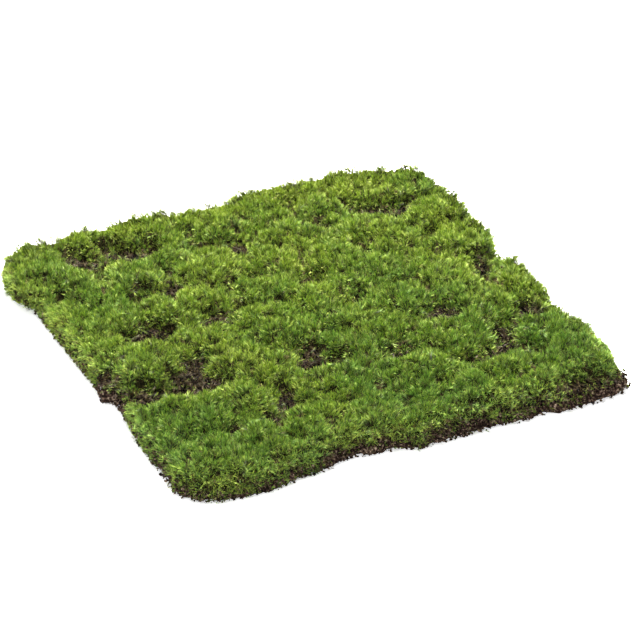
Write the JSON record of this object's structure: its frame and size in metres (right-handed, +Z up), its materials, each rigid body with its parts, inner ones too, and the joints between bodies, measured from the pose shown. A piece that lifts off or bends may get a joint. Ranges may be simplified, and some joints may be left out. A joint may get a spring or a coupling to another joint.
{
  "type": "moss clump",
  "caption": "Square mat of living cushion moss on a thin pad of peat, cut flat underneath, with bare hollows between the cushions.",
  "frame": {"origin": "on the flat underside, under the middle of the whole clump", "axes": "+X along the front edge to the right, +Y to the back, +Z up out of the moss"},
  "size_m": [0.3248, 0.3128, 0.0254],
  "materials": {
    "peat": "crumbly dark brown peaty soil, matt",
    "moss": "fine needle leaves in small rosettes, yellow-green tips over deep green"
  },
  "bodies": {
    "root": {"peat_pad": "peat", "moss_cushion_01": "moss", "moss_cushion_02": "moss", "moss_cushion_03": "moss", "moss_cushion_04": "moss", "moss_cushion_05": "moss", "moss_cushion_06": "moss", "moss_cushion_07": "moss", "moss_cushion_08": "moss", "moss_cushion_09": "moss", "moss_cushion_10": "moss", "moss_cushion_11": "moss", "moss_cushion_12": "moss", "moss_cushion_13": "moss", "moss_cushion_14": "moss", "moss_cushion_15": "moss", "moss_cushion_16": "moss", "moss_cushion_17": "moss", "moss_cushion_18": "moss", "moss_cushion_19": "moss", "moss_cushion_20": "moss", "moss_cushion_21": "moss", "moss_cushion_22": "moss", "moss_cushion_23": "moss", "moss_cushion_24": "moss", "moss_cushion_25": "moss", "moss_cushion_26": "moss", "moss_cushion_27": "moss", "moss_cushion_28": "moss", "moss_cushion_29": "moss", "moss_cushion_30": "moss", "moss_cushion_31": "moss", "moss_cushion_32": "moss", "moss_cushion_33": "moss", "moss_cushion_34": "moss", "moss_cushion_35": "moss", "moss_cushion_36": "moss", "moss_cushion_37": "moss", "moss_cushion_38": "moss", "moss_cushion_39": "moss", "moss_cushion_40": "moss", "moss_cushion_41": "moss", "moss_cushion_42": "moss", "moss_cushion_43": "moss", "moss_cushion_44": "moss", "moss_cushion_45": "moss", "moss_cushion_46": "moss", "moss_cushion_47": "moss", "moss_cushion_48": "moss", "moss_cushion_49": "moss", "moss_cushion_50": "moss", "moss_cushion_51": "moss", "moss_cushion_52": "moss", "moss_cushion_53": "moss", "moss_cushion_54": "moss", "moss_cushion_55": "moss", "moss_cushion_56": "moss", "moss_cushion_57": "moss"}
  },
  "joints": []
}
